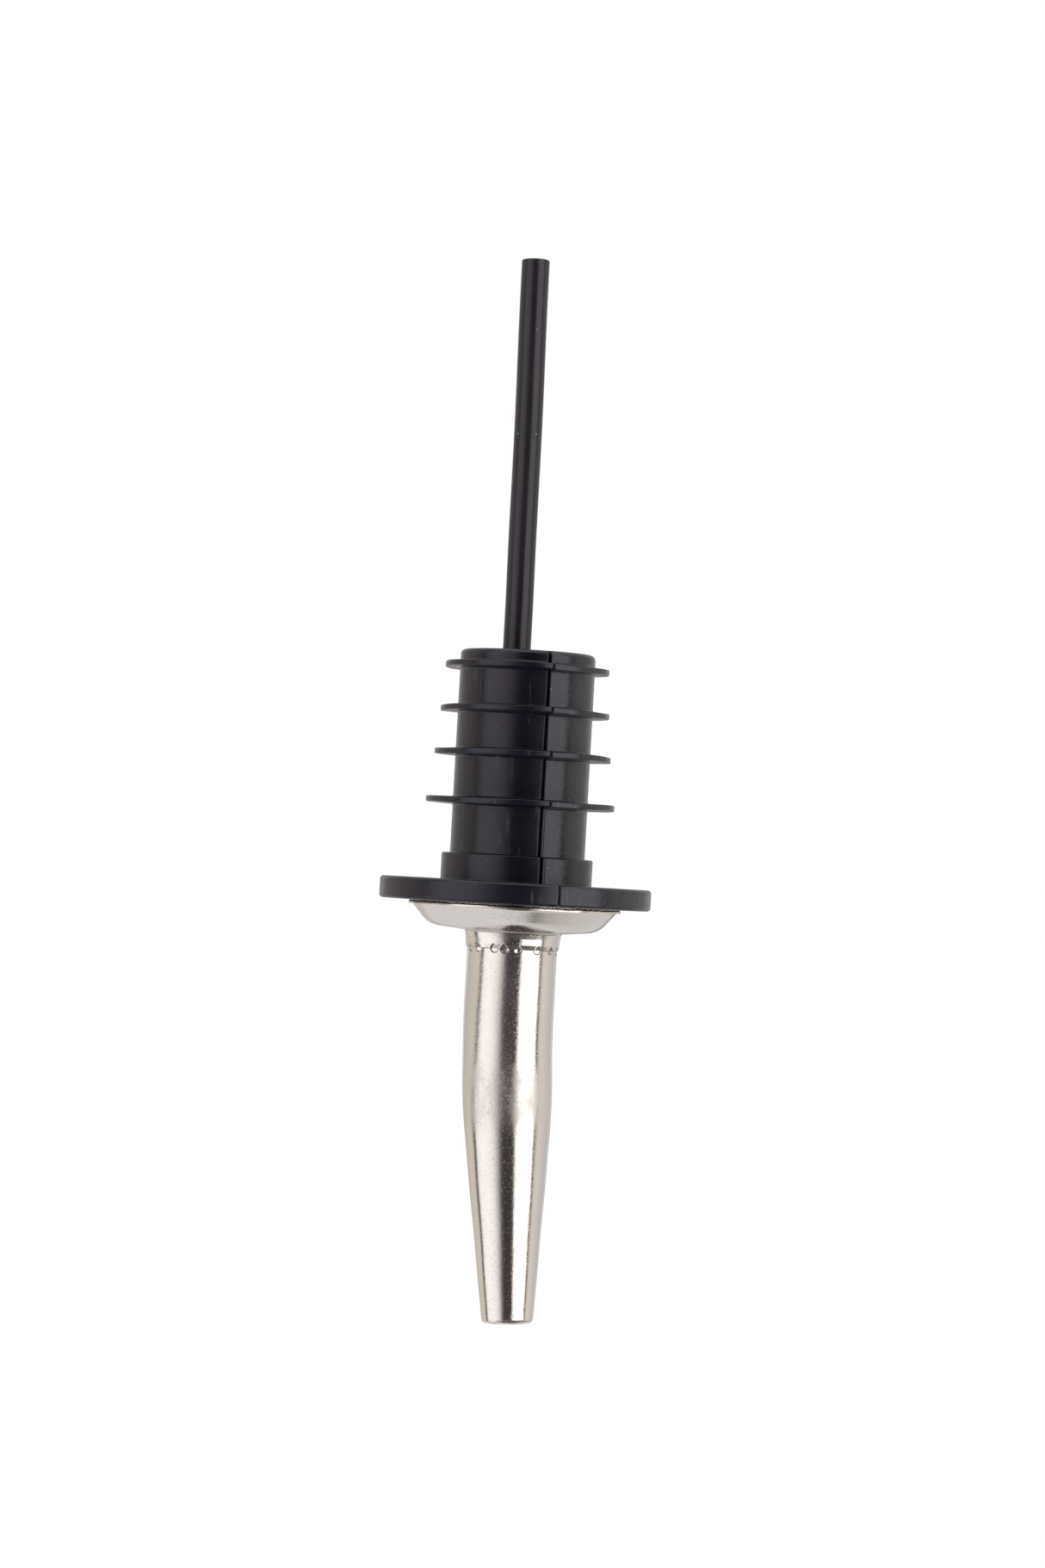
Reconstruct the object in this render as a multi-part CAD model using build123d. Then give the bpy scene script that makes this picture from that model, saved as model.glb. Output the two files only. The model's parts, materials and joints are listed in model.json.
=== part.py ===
"""Liquor pour spout: a finned rubber stopper that carries a bent metal spout with an air tube inside it.

Millimetres.  The origin is the centre of the flange's underside, the face that sits on the bottle's
rim.  +Z runs along the stopper's axis towards the spout's mouth, and the vent tube hangs down -Z into
the bottle.  The spout bends towards -X, the side that faces down while pouring.
"""
import os
from math import cos, hypot, radians, sin, tan

from build123d import *

# Stopper: one elastomer moulding
STEM_R = 8.2
STEM_END_Z = -28.0
STEM_END_ROUND = 0.6
BOSS_R = 9.2
BOSS_Z = -3.25
BOSS_ROUND = 0.25
FLANGE_R = 16.5
FLANGE_T = 2.65
FLANGE_ROUND = 0.4
FINS = [(10.0, -26.1), (10.3, -20.8), (10.75, -15.5), (11.5, -9.6)]  # rim radius, middle height
FIN_ROOT_T = 0.95
FIN_RIM_T = 0.66
FIN_RIM_ROUND = 0.12
FIN_ROOT_ROUND = 0.2
LIP_R = 4.7
LIP_T = 3.5

# Spout tube: drawn metal, plated
TUBE_R = 5.45
TUBE_WALL = 0.45
SHANK_END_Z = -24.0
BEAD_Z = -12.0
BEAD_PROUD = 0.4
BEAD_FLAT = 0.4
BEAD_SLOPE = 0.6
BEND_Z = 19.0
BEND_ANGLE = 3.17
BEND_REACH = 4.5
TAPER_START = 8.6
TAPER_ROUND = 85.0
MOUTH_R = 3.1
MOUTH_S = 34.35  # distance of the mouth from the bend's corner, along the spout
MOUTH_ROUND = 0.28
MOUTH_INNER_ROUND = 0.1

# Fits between bodies that turn or slide on each other
RUNNING_GAP = 0.05
SLIDING_GAP = 0.03

# How far a joining or cutting shape runs past the face that it meets
OVERLAP = 1.0
# Two edges count as the same radius within this
SAME_RADIUS = 0.01

# Shield cap: pressed sheet, staked to the tube
CAP_SHEET = 0.45
CAP_RIM_R = 13.1
CAP_WALL_FOOT_R = 12.16
CAP_SHOULDER_R = 10.28
CAP_SHOULDER_H = 2.8
CAP_FACE_SLOPE = 6.5
CAP_FOOT_ROUND = 1.6
CAP_SHOULDER_ROUND = 2.0
CAP_RIM_ROUND = 0.15
NECK_ROOT_R = 5.95
NECK_WAIST_R = 5.7
NECK_END_R = 5.62
NECK_ROOT_ROUND = 0.3
NECK_WAIST_H = 4.4
NECK_END_H = 5.35
STAKE_COUNT = 18
STAKE_R = 0.42
STAKE_DEPTH = 0.12

# Air tube, its holder and its solder
AIR_R = 1.2
AIR_WALL = 0.2
AIR_X = 1.45
AIR_END_Z = -34.0
AIR_OFFSET = 1.25  # from the spout's own axis, beyond the bend
AIR_MOUTH_S = 33.5
HOLDER_SHEET = 0.3
HOLDER_HEIGHT = 1.6
HOLDER_LIFT = 0.2
HOLDER_BRIDGE_W = 1.0
EYE_R = 1.65
EYE_HEIGHT = 1.1
SOLDER_LENGTH = 2.4
SOLDER_WIDTH = 1.7
SOLDER_REACH = 1.7
SOLDER_DROP = 0.3  # from the air tube's end down to the solder

# Vent tube: extruded plastic, pushed onto the air tube's lower end
VENT_R = 1.7
VENT_TOP_Z = -24.1
VENT_END_Z = -75.9
VENT_END_ROUND = 0.15

BORE_R = TUBE_R + RUNNING_GAP
TUBE_BORE_R = TUBE_R - TUBE_WALL
CAP_Z = FLANGE_T + RUNNING_GAP
TIP = Plane(
    origin=(0, 0, BEND_Z),
    x_dir=(cos(radians(BEND_ANGLE)), 0, sin(radians(BEND_ANGLE))),
    z_dir=(-sin(radians(BEND_ANGLE)), 0, cos(radians(BEND_ANGLE))),
)


def outline(points, rounds=()):
    """A closed flat face through (radius, height) points, with (corner, round) pairs filleted."""
    face = make_face(Polyline(*points, close=True))
    for corner, size in rounds:
        nearest = face.vertices().sort_by_distance((corner[0], corner[1], 0))[0]
        face = fillet(nearest, size)
    return face


def turned(points, rounds=()):
    """A solid of revolution about Z."""
    return revolve(Plane.XZ * outline(points, rounds), Axis.Z)


def fin(rim_r, middle_z):
    """One thin sealing fin, thicker at its root than at its rim."""
    top_root = (STEM_R, middle_z + FIN_ROOT_T / 2)
    top_rim = (rim_r, middle_z + FIN_RIM_T / 2)
    low_rim = (rim_r, middle_z - FIN_RIM_T / 2)
    low_root = (STEM_R, middle_z - FIN_ROOT_T / 2)
    inside = STEM_R - OVERLAP
    return turned(
        [(inside, top_root[1]), top_root, top_rim, low_rim, low_root, (inside, low_root[1])],
        [(top_rim, FIN_RIM_ROUND), (low_rim, FIN_RIM_ROUND)],
    )


def stopper():
    """Stem, boss and flange in one piece, bored for the spout's shank with a lip at the lower end."""
    rim_top = (FLANGE_R, FLANGE_T)
    rim_low = (FLANGE_R, 0)
    boss_low = (BOSS_R, BOSS_Z)
    stem_low = (STEM_R, STEM_END_Z)
    body = turned(
        [(0, FLANGE_T), rim_top, rim_low, (BOSS_R, 0), boss_low, (STEM_R, BOSS_Z), stem_low, (0, STEM_END_Z)],
        [(rim_top, FLANGE_ROUND), (rim_low, FLANGE_ROUND), (boss_low, BOSS_ROUND), (stem_low, STEM_END_ROUND)],
    )
    for rim_r, middle_z in FINS:
        body += fin(rim_r, middle_z)
    roots = [
        edge
        for edge in body.edges().filter_by(GeomType.CIRCLE)
        if abs(edge.radius - STEM_R) < SAME_RADIUS and any(abs(edge.center().Z - z) < FIN_ROOT_T for _, z in FINS)
    ]
    body = fillet(roots, FIN_ROOT_ROUND)
    lip_z = STEM_END_Z + LIP_T
    half = BEAD_FLAT / 2 + RUNNING_GAP
    groove_r = BORE_R + BEAD_PROUD
    bore = turned(
        [
            (0, FLANGE_T + OVERLAP),
            (BORE_R, FLANGE_T + OVERLAP),
            (BORE_R, BEAD_Z + half + BEAD_SLOPE),
            (groove_r, BEAD_Z + half),
            (groove_r, BEAD_Z - half),
            (BORE_R, BEAD_Z - half - BEAD_SLOPE),
            (BORE_R, lip_z),
            (LIP_R, lip_z),
            (LIP_R, STEM_END_Z - OVERLAP),
            (0, STEM_END_Z - OVERLAP),
        ]
    )
    return body - bore


def bead(radius):
    """The rolled bead's outline on a wall of the given radius, from its lower end up."""
    half = BEAD_FLAT / 2
    return [
        (radius, BEAD_Z - half - BEAD_SLOPE),
        (radius + BEAD_PROUD, BEAD_Z - half),
        (radius + BEAD_PROUD, BEAD_Z + half),
        (radius, BEAD_Z + half + BEAD_SLOPE),
    ]


def spout_tube():
    """Straight shank with a rolled bead, a gentle elbow, then a tapered end with a rounded mouth."""
    shank_top = BEND_Z - BEND_REACH
    shank = turned(
        [(TUBE_R, SHANK_END_Z), *bead(TUBE_R), (TUBE_R, shank_top), (TUBE_BORE_R, shank_top)]
        + bead(TUBE_BORE_R)[::-1]
        + [(TUBE_BORE_R, SHANK_END_Z)]
    )
    bend_r = BEND_REACH / tan(radians(BEND_ANGLE / 2))
    ring = Plane((0, 0, shank_top)) * (Circle(TUBE_R) - Circle(TUBE_BORE_R))
    elbow = revolve(ring, Axis((-bend_r, 0, shank_top), (0, -1, 0)), BEND_ANGLE)
    mouth_bore_r = MOUTH_R - TUBE_WALL
    taper = TIP * turned(
        [
            (TUBE_R, BEND_REACH),
            (TUBE_R, TAPER_START),
            (MOUTH_R, MOUTH_S),
            (mouth_bore_r, MOUTH_S),
            (TUBE_BORE_R, TAPER_START),
            (TUBE_BORE_R, BEND_REACH),
        ],
        [
            ((TUBE_R, TAPER_START), TAPER_ROUND),
            ((TUBE_BORE_R, TAPER_START), TAPER_ROUND),
            ((MOUTH_R, MOUTH_S), MOUTH_ROUND),
            ((mouth_bore_r, MOUTH_S), MOUTH_INNER_ROUND),
        ],
    )
    return shank + elbow + taper


def shield_cap():
    """Shallow pressed pan with a flat rim, whose neck is staked to the tube by a ring of punch marks."""
    wall_run = CAP_WALL_FOOT_R - CAP_SHOULDER_R
    wall_rise = CAP_SHOULDER_H - CAP_SHEET
    lean = wall_run / wall_rise
    face = tan(radians(CAP_FACE_SLOPE))
    # Sideways distance between the wall's outer and inner faces at one height
    wall_shift = CAP_SHEET * hypot(wall_run, wall_rise) / wall_rise
    shoulder_z = CAP_Z + CAP_SHOULDER_H
    rim = (CAP_RIM_R, CAP_Z + CAP_SHEET)
    foot = (CAP_WALL_FOOT_R, CAP_Z + CAP_SHEET)
    shoulder = (CAP_SHOULDER_R, shoulder_z)
    neck_root = (NECK_ROOT_R, shoulder_z + face * (CAP_SHOULDER_R - NECK_ROOT_R))
    neck_end_z = CAP_Z + NECK_END_H
    inner_shoulder_z = shoulder_z - CAP_SHEET
    inner_shoulder = (CAP_SHOULDER_R - wall_shift + lean * CAP_SHEET, inner_shoulder_z)
    inner_root = (TUBE_R, inner_shoulder_z + face * (inner_shoulder[0] - TUBE_R))
    inner_foot = (CAP_WALL_FOOT_R - wall_shift + lean * CAP_SHEET, CAP_Z)
    cap = turned(
        [
            (CAP_RIM_R, CAP_Z),
            rim,
            foot,
            shoulder,
            neck_root,
            (NECK_WAIST_R, CAP_Z + NECK_WAIST_H),
            (NECK_END_R, neck_end_z),
            (TUBE_R, neck_end_z),
            inner_root,
            inner_shoulder,
            inner_foot,
        ],
        [
            (rim, CAP_RIM_ROUND),
            (foot, CAP_FOOT_ROUND),
            (shoulder, CAP_SHOULDER_ROUND),
            (neck_root, NECK_ROOT_ROUND),
            (inner_shoulder, CAP_SHOULDER_ROUND - CAP_SHEET),
            (inner_foot, CAP_FOOT_ROUND),
        ],
    )
    punch = Pos(NECK_END_R + STAKE_R - STAKE_DEPTH, 0, neck_end_z - STAKE_R) * Sphere(STAKE_R)
    for index in range(STAKE_COUNT):
        cap -= Rot(0, 0, index * 360 / STAKE_COUNT) * punch
    return cap


def air_route():
    """The air tube's three route points and bend radius: up the shank, then beside the spout's axis."""
    mouth = TIP.from_local_coords((AIR_OFFSET, 0, AIR_MOUTH_S))
    along = (AIR_X - mouth.X) / sin(radians(BEND_ANGLE))
    corner = (AIR_X, 0, mouth.Z - along * cos(radians(BEND_ANGLE)))
    radius = BEND_REACH / tan(radians(BEND_ANGLE / 2))
    return (AIR_X, 0, AIR_END_Z), corner, (mouth.X, 0, mouth.Z), radius


def air_tube(outer=AIR_R, inner=AIR_R - AIR_WALL):
    """Thin metal tube from below the holder to just inside the mouth."""
    start, corner, end, radius = air_route()
    path = FilletPolyline(start, corner, end, radius=radius)
    section = Circle(outer) - Circle(inner) if inner else Circle(outer)
    return sweep(Plane(start) * section, path)


def air_tube_holder():
    """Stamped cup pressed into the shank's end: a thin ring, a bridge and an eye for the air tube."""
    low = SHANK_END_Z + HOLDER_LIFT
    ring_bore_r = TUBE_BORE_R - HOLDER_SHEET
    ring = Circle(TUBE_BORE_R) - Circle(ring_bore_r)
    holder = Pos(0, 0, low) * extrude(ring, HOLDER_HEIGHT)
    bridge = Pos(AIR_X, 0) * Rectangle(HOLDER_BRIDGE_W, 2 * TUBE_BORE_R) & Circle(TUBE_BORE_R - HOLDER_SHEET / 2)
    holder += Pos(0, 0, low) * extrude(bridge, HOLDER_SHEET)
    holder += Pos(AIR_X, 0, low) * extrude(Circle(EYE_R), EYE_HEIGHT)
    return holder - Pos(AIR_X, 0, low) * extrude(Circle(AIR_R), EYE_HEIGHT)


def air_tube_solder():
    """Solder between the air tube and the spout's wall, just inside the mouth."""
    slope = (TUBE_R - MOUTH_R) / (MOUTH_S - TAPER_START)
    high = AIR_MOUTH_S - SOLDER_DROP
    low = high - SOLDER_LENGTH
    wall_low = MOUTH_R - TUBE_WALL + slope * (MOUTH_S - low)
    wall_high = MOUTH_R - TUBE_WALL + slope * (MOUTH_S - high)
    plug = turned([(0, low), (wall_low, low), (wall_high, high), (0, high)])
    block = Pos(SOLDER_REACH + MOUTH_R / 2, 0, (low + high) / 2) * Box(MOUTH_R, SOLDER_WIDTH, MOUTH_R)
    return TIP * (plug & block) - air_tube(inner=0)


def vent_tube():
    """Straight plastic tube, square cut at both ends, pushed up to the holder."""
    bore_r = AIR_R + SLIDING_GAP
    end = (VENT_R, VENT_END_Z)
    tube = turned(
        [(VENT_R, VENT_TOP_Z), end, (bore_r, VENT_END_Z), (bore_r, VENT_TOP_Z)],
        [(end, VENT_END_ROUND)],
    )
    return Pos(AIR_X, 0, 0) * tube


def main():
    os.makedirs("parts", exist_ok=True)
    nodes = {
        "stopper": stopper(),
        "spout_tube": spout_tube(),
        "shield_cap": shield_cap(),
        "air_tube": air_tube(),
        "air_tube_holder": air_tube_holder(),
        "air_tube_solder": air_tube_solder(),
        "vent_tube": vent_tube(),
    }
    for name, shape in nodes.items():
        export_step(shape, f"parts/{name}.step")
        print(name, "volume", round(shape.volume, 2), "mm3")


main()
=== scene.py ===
"""Looks of a liquor pour spout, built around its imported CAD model.

The frame is the CAD's: metres here, origin at the centre of the flange's underside, +Z towards the
spout's mouth.  Sizes below are millimetres and are turned into metres when a mesh is made.
"""
import json
import math
import random

import bpy
import numpy as np
from mathutils import Matrix, Vector


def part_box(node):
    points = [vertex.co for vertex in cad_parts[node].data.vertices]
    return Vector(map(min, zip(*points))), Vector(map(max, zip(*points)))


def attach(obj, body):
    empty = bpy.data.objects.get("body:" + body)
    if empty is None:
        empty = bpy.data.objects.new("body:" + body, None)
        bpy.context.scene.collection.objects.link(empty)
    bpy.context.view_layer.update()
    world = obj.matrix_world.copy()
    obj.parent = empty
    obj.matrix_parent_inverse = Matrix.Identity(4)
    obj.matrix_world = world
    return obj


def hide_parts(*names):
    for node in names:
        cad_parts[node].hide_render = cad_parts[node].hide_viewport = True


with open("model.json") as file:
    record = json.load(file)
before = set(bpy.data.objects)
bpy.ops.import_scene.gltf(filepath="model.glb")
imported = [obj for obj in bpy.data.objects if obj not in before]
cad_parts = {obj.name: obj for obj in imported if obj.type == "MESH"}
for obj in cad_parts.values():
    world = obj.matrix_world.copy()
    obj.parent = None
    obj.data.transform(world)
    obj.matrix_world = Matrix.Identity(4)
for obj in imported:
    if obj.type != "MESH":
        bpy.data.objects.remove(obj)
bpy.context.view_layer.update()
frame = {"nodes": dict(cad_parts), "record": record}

MM = 0.001
TURN = 2 * math.pi


def low_mm(node):
    """Lowest corner of a CAD node's box."""
    return [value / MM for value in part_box(node)[0]]


def high_mm(node):
    """Highest corner of a CAD node's box."""
    return [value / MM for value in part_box(node)[1]]


def mount_of(name):
    """A mount's own entry in the record."""
    return next(m for m in frame["record"]["mounts"] if m["name"] == name)


# ------------------------------------ sizes, mm
# Taken from the frame where it has them.  Most of the others repeat the CAD's own sizes
FLANGE_T = high_mm("stopper")[2]
FLANGE_R = high_mm("stopper")[0]
STEM_END_Z = low_mm("stopper")[2]
STEM_R = 8.2
BOSS_R = 9.2
BOSS_Z = -3.25
FIN_LARGE = mount_of("fin_large")
FIN_SMALL = mount_of("fin_small")
FINS = [
    (FIN_SMALL["dims"]["r_mm"], FIN_SMALL["pos_m"][2] / MM),
    (10.3, -20.8),
    (10.75, -15.5),
    (FIN_LARGE["dims"]["r_mm"], FIN_LARGE["pos_m"][2] / MM),
]
FIN_ROOT_T = 0.95
FIN_RIM_T = 0.66
BORE_R = 5.5
LIP_R = 4.7
LIP_T = 3.5
BEAD_Z = -12.0            # the rolled bead that holds the spout in the stopper
BEAD_PROUD = 0.4
BEAD_HALF = 0.8
BEAD_FLAT_HALF = 0.2
BEAD_GROOVE_FLAT_HALF = 0.25

TUBE_R = 5.45
TUBE_WALL = 0.45
SHANK_END_Z = low_mm("spout_tube")[2]
BEND_Z = 19.0
BEND_ANGLE = math.radians(3.17)
BEND_REACH = 4.5
TAPER_START = 8.6
TAPER_ROUND = 85.0
MOUTH_R = 3.1
MOUTH_S = 34.35
DULL_Z = 25.8             # the plate is duller around this height, where the tube was drawn down
DULL_CORE = 2.0           # up to this far above and below it, and no longer from this far
DULL_REACH = 5.0
DULL_ROUGH = 0.30

CAP_SHEET = 0.45
CAP_Z = low_mm("shield_cap")[2]
CAP_END_Z = high_mm("shield_cap")[2]
CAP_TRIM = 0.22           # the trimmed rim stays this far inside the CAD's
CAP_RIM_R = high_mm("shield_cap")[0] - CAP_TRIM
CAP_FOOT_R = 12.16
CAP_SHOULDER_R = 10.28
CAP_SHOULDER_H = 2.8
CAP_FACE_RISE = 0.49
NECK_ROOT_R = 5.95
NECK_WAIST_R = 5.7
NECK_WAIST_H = 4.4
NECK_END_R = 5.62

VENT_X = (low_mm("vent_tube")[0] + high_mm("vent_tube")[0]) / 2
VENT_R = (high_mm("vent_tube")[0] - low_mm("vent_tube")[0]) / 2
VENT_BORE_R = 1.23
VENT_TOP_Z = high_mm("vent_tube")[2]
VENT_END_Z = low_mm("vent_tube")[2]
SPIGOT_END_Z = low_mm("air_tube")[2]

# Places around the object are angles about Z in degrees from -Y towards -X, so that 0 faces the camera.
# The mould's parting line
SEAM = 18.6
# The punch marks around the cap's neck: place, where the deepest line crosses the mark from -1 to 1, and
# how flat the floor is on the camera's left and right of it
PUNCH_MARKS = [
    (-165, 0.2, 2, 1),
    (-146, -0.1, 1, 1.2),
    (-127, 0.3, 3, 3),
    (-109, 0, 1, 1),
    (-86, 0.2, 2, 1),
    (-64.5, 0.4, 1.1, 1.1),
    (-46.7, 0.35, 1.2, 1.2),
    (-23.4, 0, 6, 6),
    (-9.4, -0.1, 1, 6),
    (7.4, -0.1, 1, 6),
    (33.8, -0.2, 5, 5),
    (57, -0.3, 1.1, 1.1),
    (74, 0.1, 2, 1),
    (92, -0.2, 1, 2),
    (113, 0.3, 1.4, 1),
    (134, 0, 3, 3),
    (155, -0.3, 1, 1),
]
MARK_HALF = 0.50          # half a mark's width
WIDEST_MARK = -9.4        # the place of the one mark that is wider
WIDEST_MARK_HALF = 0.60


def facing(degrees):
    """The angle about Z of a direction given in degrees from -Y towards -X."""
    return math.radians(-90 - degrees)


# ------------------------------------ outlines
CORNER_ROW = 0.06
LONGEST_BARE = 0.2        # the longest straight that has no rows close to its ends
MIN_TURN = 1e-4           # radians
TINY = 1e-9


def corner_arc(before, here, after, size, step, arc_step):
    """Points of the arc that rounds a corner, or the corner itself where it is sharp."""
    back = (before - here) / np.linalg.norm(before - here)
    ahead = (after - here) / np.linalg.norm(after - here)
    turn = math.pi - math.acos(max(-1.0, min(1.0, float(back @ ahead))))
    if size <= 0 or turn < MIN_TURN:
        return [here]
    start = here + back * size * math.tan(turn / 2)
    middle = here + (back + ahead) / np.linalg.norm(back + ahead) * size / math.cos(turn / 2)
    spoke = start - middle
    side = np.sign(spoke[0] * (here - middle)[1] - spoke[1] * (here - middle)[0])
    steps = max(3, math.ceil(math.degrees(turn) / arc_step), math.ceil(size * turn / step))
    arc = []
    for k in range(steps + 1):
        a = side * turn * k / steps
        arc.append(middle + [spoke[0] * math.cos(a) - spoke[1] * math.sin(a),
                             spoke[0] * math.sin(a) + spoke[1] * math.cos(a)])
    return arc


def rounded(corners, step=0.5, arc_step=7.0):
    """A closed outline through (radius, height, round) corners, with arcs and evenly divided straights.

    Step is the longest straight or chord in mm, and arc_step the most that an arc turns in one chord, in
    degrees.
    """
    places = [np.array(corner[:2], float) for corner in corners]
    count = len(corners)
    arcs = []
    for index, (_, _, size) in enumerate(corners):
        before, here, after = places[index - 1], places[index], places[(index + 1) % count]
        arcs.append(corner_arc(before, here, after, size, step, arc_step))
    outline = []
    for index, arc in enumerate(arcs):
        outline.extend(arc)
        start = arc[-1]
        end = arcs[(index + 1) % count][0]
        length = np.linalg.norm(end - start)
        cuts = max(1, math.ceil(length / step))
        # Rows close to the corners keep the shading of the flats flat
        inset = min(CORNER_ROW, length / 4)
        shares = [k / cuts for k in range(1, cuts)]
        if length > LONGEST_BARE:
            shares = sorted({inset / length, 1 - inset / length, *shares})
        outline.extend(start + (end - start) * share for share in shares)
    return np.array(outline)


def outline_normals(outline):
    """Outward normals of a closed outline in the (radius, height) plane."""
    ahead = np.roll(outline, -1, axis=0) - outline
    ahead /= np.maximum(np.linalg.norm(ahead, axis=1, keepdims=True), TINY)
    tangent = ahead + np.roll(ahead, 1, axis=0)
    tangent /= np.maximum(np.linalg.norm(tangent, axis=1, keepdims=True), TINY)
    area = np.sum(outline[:, 0] * np.roll(outline[:, 1], -1) - np.roll(outline[:, 0], -1) * outline[:, 1])
    sign = 1.0 if area > 0 else -1.0
    return np.stack([tangent[:, 1], -tangent[:, 0]], axis=1) * sign


# ------------------------------------ meshes
def add_object(name, data):
    """A new object in the scene."""
    made = bpy.data.objects.new(name, data)
    bpy.context.scene.collection.objects.link(made)
    return made


def make_piece(name, points, painted_shade=None):
    """A mesh object from a grid of points (rows along the outline, columns around), in mm.

    Painted shade, from 0 to 1 at each point, is kept on the mesh for its material to darken crevices with,
    in place of the shade that falls there.
    """
    rows, columns, _ = points.shape
    index = np.arange(rows * columns).reshape(rows, columns)
    down = np.roll(index, -1, axis=0)
    quads = np.stack([index, np.roll(index, -1, axis=1), np.roll(down, -1, axis=1), down], axis=-1)
    mesh = bpy.data.meshes.new(name)
    mesh.from_pydata((points.reshape(-1, 3) * MM).tolist(), [], quads.reshape(-1, 4).tolist())
    mesh.validate()
    piece = add_object(name, mesh)
    volume = signed_volume(points.reshape(-1, 3), quads.reshape(-1, 4))
    if volume < 0:
        mesh.flip_normals()
    mesh.shade_smooth()
    if painted_shade is not None:
        mesh.attributes.new("painted_shade", "FLOAT", "POINT").data.foreach_set("value", painted_shade.ravel())
    return piece


def signed_volume(points, quads):
    """A number whose sign tells which way the faces of a closed mesh look."""
    a, b, c, d = (points[quads[:, k]] for k in range(4))
    return float(np.sum(np.cross(a, b) * c) + np.sum(np.cross(a, c) * d))


def around(count, fine_at=(), fine_offsets=()):
    """Angles about Z: an even ring, with extra angles packed at chosen places."""
    ring = [TURN * k / count for k in range(count)]
    clear = max((abs(o) for o in fine_offsets), default=0.0)
    for place in fine_at:
        ring = [a for a in ring if abs(turn_between(a, place)) > clear + MIN_TURN]
        ring += [(place + o) % TURN for o in fine_offsets]
    return np.array(sorted(ring))


def turn_between(angle, place):
    """Signed turn from place to angle, between half a turn each way."""
    return (angle - place + math.pi) % TURN - math.pi


def turned(outline, angles):
    """Grid of points of a solid of revolution, and the grid of its outward normals."""
    normals = outline_normals(outline)
    ring = np.stack([np.cos(angles), np.sin(angles)], axis=1)

    def spin(flat):
        grid = np.empty((len(flat), len(angles), 3))
        grid[..., 0] = flat[:, :1] * ring[:, 0]
        grid[..., 1] = flat[:, :1] * ring[:, 1]
        grid[..., 2] = flat[:, 1:]
        return grid

    return spin(outline), spin(normals)


def smooth_bump(distance, width):
    """1 at zero, falling smoothly to 0 at the given distance."""
    t = np.clip(1 - np.abs(distance) / width, 0, 1)
    return t * t * (3 - 2 * t)


def bell(distance, width):
    """1 at zero, falling away on both sides without an end."""
    return np.exp(-((distance / width) ** 2))


# ------------------------------------ stopper
SEAM_HALF = 0.18           # half width of the parting line's groove on the stem and boss
SEAM_HALF_OUTSIDE = 0.075  # and on the rims of the fins and flange
SEAM_WALL = 0.05
SEAM_DEPTH = 0.45
SEAM_SHALLOWER = 0.45      # share of the depth that the groove loses on the rims
SEAM_REACH = 0.12          # radians on each side of the parting line that are meshed for its width in mm
SEAM_FINE = 0.7            # mm on each side of the parting line with a fine mesh
SEAM_FINE_STEP = 0.05
WORN_EDGE = 0.16           # width of the groove's worn edges
WORN_SHARE = 0.10          # and their depth as a share of the groove's
SECOND_LINE = 0.42         # a fine witness line beside the groove, this far from its middle
SECOND_LINE_HALF = 0.07
SECOND_LINE_SHARE = 0.12
MOULD_SHIFT = 0.085        # the two mould halves sit this far apart along Z
FLASH = 0.14               # how far the half on the camera's left stands out at the parting line
FLASH_REACH = 0.33         # radians over which it rises
FIN_WAVE = 0.06            # fins that have been in and out of bottles are not quite flat or round
FIN_RIPPLE = 0.035
FIN_OUT_OF_ROUND = 0.03
STOPPER_SIDES = 300


def stopper_outline():
    """Outline of the stopper, up its outside and back down its bore."""
    corners = [(LIP_R, STEM_END_Z, 0.15), (STEM_R, STEM_END_Z, 0.6)]
    for rim_r, middle in FINS:
        corners += [
            (STEM_R, middle - FIN_ROOT_T / 2, 0.2),
            (rim_r, middle - FIN_RIM_T / 2, 0.12),
            (rim_r, middle + FIN_RIM_T / 2, 0.12),
            (STEM_R, middle + FIN_ROOT_T / 2, 0.2),
        ]
    corners += [
        (STEM_R, BOSS_Z, 0.12),
        (BOSS_R, BOSS_Z, 0.25),
        (BOSS_R, 0, 0.12),
        (FLANGE_R, 0, 0.4),
        (FLANGE_R, FLANGE_T, 0.4),
        (BORE_R, FLANGE_T, 0.1),
        (BORE_R, BEAD_Z + BEAD_HALF, 0),
        (BORE_R + BEAD_PROUD, BEAD_Z + BEAD_GROOVE_FLAT_HALF, 0),
        (BORE_R + BEAD_PROUD, BEAD_Z - BEAD_GROOVE_FLAT_HALF, 0),
        (BORE_R, BEAD_Z - BEAD_HALF, 0),
        (BORE_R, STEM_END_Z + LIP_T, 0),
        (LIP_R, STEM_END_Z + LIP_T, 0.1),
    ]
    return rounded(corners)


def parting_groove(radius, height, angles, seams):
    """The groove's depth at each point as a share of its full depth, and the turn that each point makes so
    that the groove keeps its width in mm as the radius grows."""
    half_width = SEAM_HALF + (SEAM_HALF_OUTSIDE - SEAM_HALF) * out_on_rims(radius)
    spin = np.zeros((len(radius), len(angles)))
    groove = np.zeros_like(spin)
    for seam in seams:
        off = turn_between(angles, seam)[None, :]
        close = np.abs(off) < SEAM_REACH
        near = smooth_bump(off, SEAM_REACH)
        squeezed = off * (near * STEM_R / radius + (1 - near))
        spin += np.where(close, squeezed - off, 0)
        across = squeezed * radius
        groove += np.clip((half_width + SEAM_WALL - np.abs(across)) / SEAM_WALL, 0, 1) * close
        worn = np.clip(1 - (np.abs(across) - half_width) / WORN_EDGE, 0, 1) ** 2
        groove += WORN_SHARE * worn * close
        # Near the flange a fine witness line runs beside the groove
        line = np.clip(1 - np.abs(across + SECOND_LINE) / SECOND_LINE_HALF, 0, 1)
        groove += SECOND_LINE_SHARE * line * close * (height > FINS[-1][1])
    return groove, spin


def out_on_rims(radius):
    """0 on the stem and boss, rising to 1 out on the fins and flange."""
    return np.clip((radius - STEM_R - 0.3) / 1.2, 0, 1) * (np.abs(radius - BOSS_R) > 0.3)


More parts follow.
